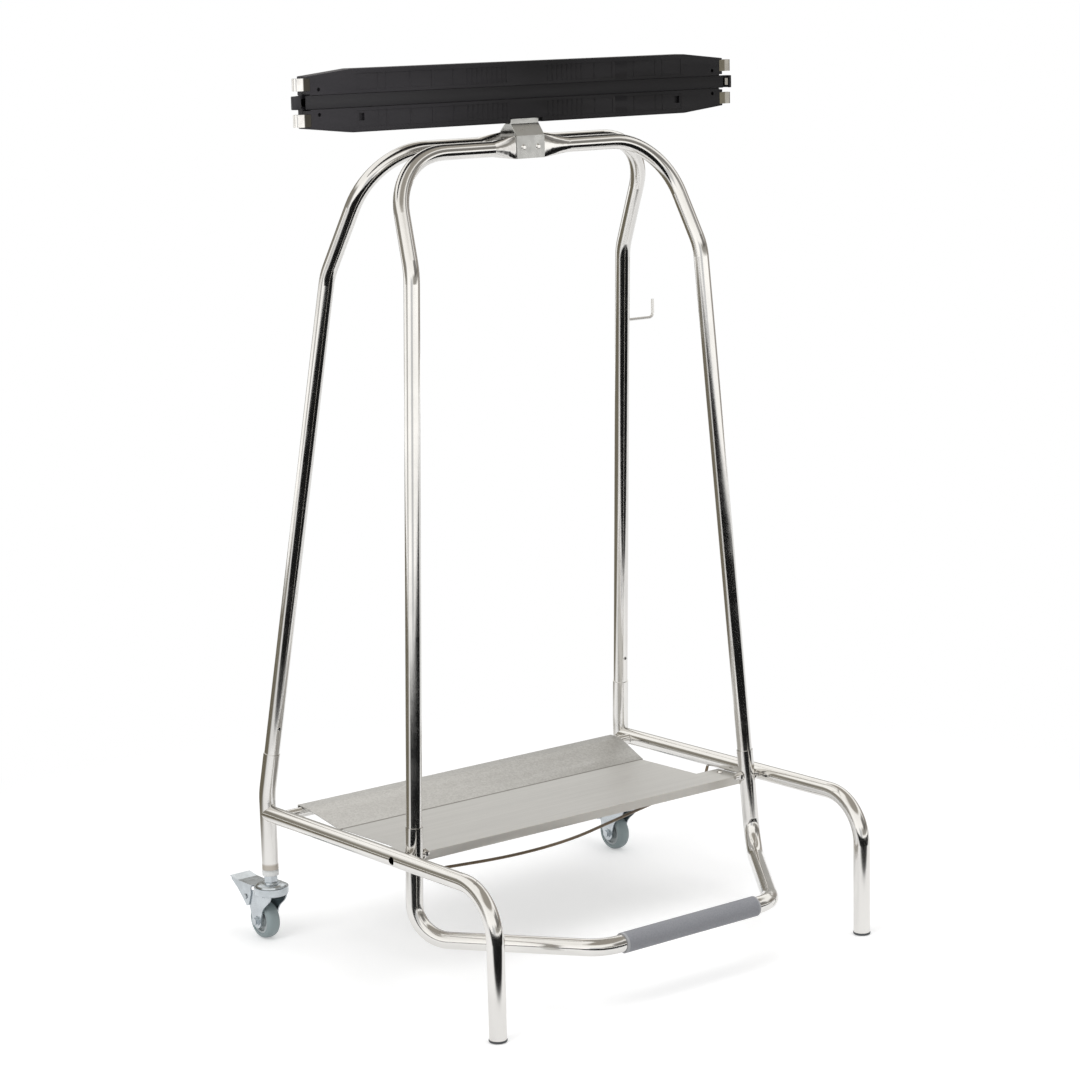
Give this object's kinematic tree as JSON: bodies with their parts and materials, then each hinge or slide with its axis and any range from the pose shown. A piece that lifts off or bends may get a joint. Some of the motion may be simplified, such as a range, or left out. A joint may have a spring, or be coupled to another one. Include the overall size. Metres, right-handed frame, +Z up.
{
  "type": "bag holder stand",
  "caption": "Pedal-operated steel tube stand that clamps an upright bag between two strips, with a fold-formed shelf and braked castors.",
  "frame": {"origin": "on the floor, under the middle of the whole stand", "axes": "+Z up; -Y is the pedal side, +Y the castor side; +X is the right-hand side seen from the pedal"},
  "size_m": [0.696, 0.592, 1.1454],
  "materials": {
    "stainless_steel": "polished",
    "shelf_sheet": "matte sheet",
    "zinc_plated_steel": "bright zinc",
    "spring_steel": "dark oiled",
    "black_plastic": "satin",
    "black_rubber": "matte",
    "grey_tyre": "satin",
    "grey_plastic": "satin",
    "dark_plastic": "satin",
    "grey_sleeve": "matte"
  },
  "bodies": {
    "base": {"side_tube_left": "stainless_steel", "side_tube_right": "stainless_steel", "foot_cap_left": "dark_plastic", "foot_cap_right": "dark_plastic", "rear_leg_left": "stainless_steel", "rear_leg_right": "stainless_steel", "cross_tube": "stainless_steel", "rear_hoop": "stainless_steel", "hoop_buttons": "stainless_steel", "pivot_bolts": "stainless_steel", "pivot_washers": "stainless_steel", "pivot_nuts": "stainless_steel", "shelf": "shelf_sheet", "shelf_lugs": "stainless_steel", "shelf_screws": "stainless_steel", "spring_wire": "spring_steel", "bag_hook": "stainless_steel", "rear_bracket": "stainless_steel", "rear_rivets": "stainless_steel", "rear_clamp_middle": "black_plastic", "rear_band_middle": "black_rubber", "leg_socket_left": "grey_plastic", "leg_socket_right": "grey_plastic", "castor_stem_left": "zinc_plated_steel", "castor_stem_right": "zinc_plated_steel"},
    "pedal_frame": {"pedal_tube": "stainless_steel", "front_hoop": "stainless_steel", "pivot_bushes": "stainless_steel", "pedal_sleeve": "grey_sleeve", "front_bracket": "stainless_steel", "front_rivets": "stainless_steel"},
    "front_jaw": {"front_clamp_middle": "black_plastic", "front_band_middle": "black_rubber"},
    "front_jaw_left": {"front_strip_left": "black_plastic", "front_end_plate_left": "stainless_steel", "front_band_left": "black_rubber"},
    "front_jaw_right": {"front_strip_right": "black_plastic", "front_end_plate_right": "stainless_steel", "front_band_right": "black_rubber"},
    "rear_jaw_left": {"rear_strip_left": "black_plastic", "rear_end_plate_left": "stainless_steel", "rear_band_left": "black_rubber"},
    "rear_jaw_right": {"rear_strip_right": "black_plastic", "rear_end_plate_right": "stainless_steel", "rear_band_right": "black_rubber"},
    "castor_left": {"castor_fork_left": "zinc_plated_steel", "castor_axle_left": "zinc_plated_steel", "lever_pin_left": "zinc_plated_steel"},
    "wheel_left": {"wheel_core_left": "grey_plastic", "tyre_left": "grey_tyre"},
    "brake_left": {"brake_lever_left": "zinc_plated_steel"},
    "castor_right": {"castor_fork_right": "zinc_plated_steel", "castor_axle_right": "zinc_plated_steel", "lever_pin_right": "zinc_plated_steel"},
    "wheel_right": {"wheel_core_right": "grey_plastic", "tyre_right": "grey_tyre"},
    "brake_right": {"brake_lever_right": "zinc_plated_steel"}
  },
  "joints": [
    {"name": "pedal_tilt", "type": "hinge", "parent": "base", "child": "pedal_frame", "pos_m": [0, -0.082, 0.18042], "axis": [1, 0, 0], "range_deg": [0, 15], "stiffness_Nm_per_rad": 9, "springref_deg": -6.88},
    {"name": "front_jaw_level", "type": "hinge", "parent": "pedal_frame", "child": "front_jaw", "pos_m": [0, 0.0186, 1.0721], "axis": [1, 0, 0], "range_deg": [-15.1, 0.1]},
    {"name": "front_left_flex", "type": "hinge", "parent": "front_jaw", "child": "front_jaw_left", "pos_m": [-0.023, 0.0237, 1.107], "axis": [0, 0, 1], "range_deg": [-21.3, 0]},
    {"name": "front_right_flex", "type": "hinge", "parent": "front_jaw", "child": "front_jaw_right", "pos_m": [0.023, 0.0237, 1.107], "axis": [0, 0, 1], "range_deg": [0, 21.3]},
    {"name": "rear_left_flex", "type": "hinge", "parent": "base", "child": "rear_jaw_left", "pos_m": [-0.023, 0.0243, 1.107], "axis": [0, 0, 1], "range_deg": [0, 21.3]},
    {"name": "rear_right_flex", "type": "hinge", "parent": "base", "child": "rear_jaw_right", "pos_m": [0.023, 0.0243, 1.107], "axis": [0, 0, 1], "range_deg": [-21.3, 0]},
    {"name": "castor_swivel_left", "type": "hinge", "parent": "base", "child": "castor_left", "pos_m": [-0.3, 0.218, 0.06], "axis": [0, 0, 1], "continuous": true},
    {"name": "wheel_spin_left", "type": "hinge", "parent": "castor_left", "child": "wheel_left", "pos_m": [-0.3, 0.236, 0.025], "axis": [1, 0, 0], "continuous": true},
    {"name": "brake_lever_left", "type": "hinge", "parent": "castor_left", "child": "brake_left", "pos_m": [-0.3, 0.259, 0.054], "axis": [1, 0, 0], "range_deg": [-9, 0]},
    {"name": "castor_swivel_right", "type": "hinge", "parent": "base", "child": "castor_right", "pos_m": [0.3, 0.218, 0.06], "axis": [0, 0, 1], "continuous": true},
    {"name": "wheel_spin_right", "type": "hinge", "parent": "castor_right", "child": "wheel_right", "pos_m": [0.3, 0.236, 0.025], "axis": [1, 0, 0], "continuous": true},
    {"name": "brake_lever_right", "type": "hinge", "parent": "castor_right", "child": "brake_right", "pos_m": [0.3, 0.259, 0.054], "axis": [1, 0, 0], "range_deg": [-9, 0]}
  ],
  "couplings": [
    {"joint": "front_jaw_level", "follows": "pedal_tilt", "ratio": -1},
    {"joint": "front_left_flex", "follows": "pedal_tilt", "ratio": -1.41},
    {"joint": "front_right_flex", "follows": "pedal_tilt", "ratio": 1.41},
    {"joint": "rear_left_flex", "follows": "pedal_tilt", "ratio": 1.41},
    {"joint": "rear_right_flex", "follows": "pedal_tilt", "ratio": -1.41}
  ]
}
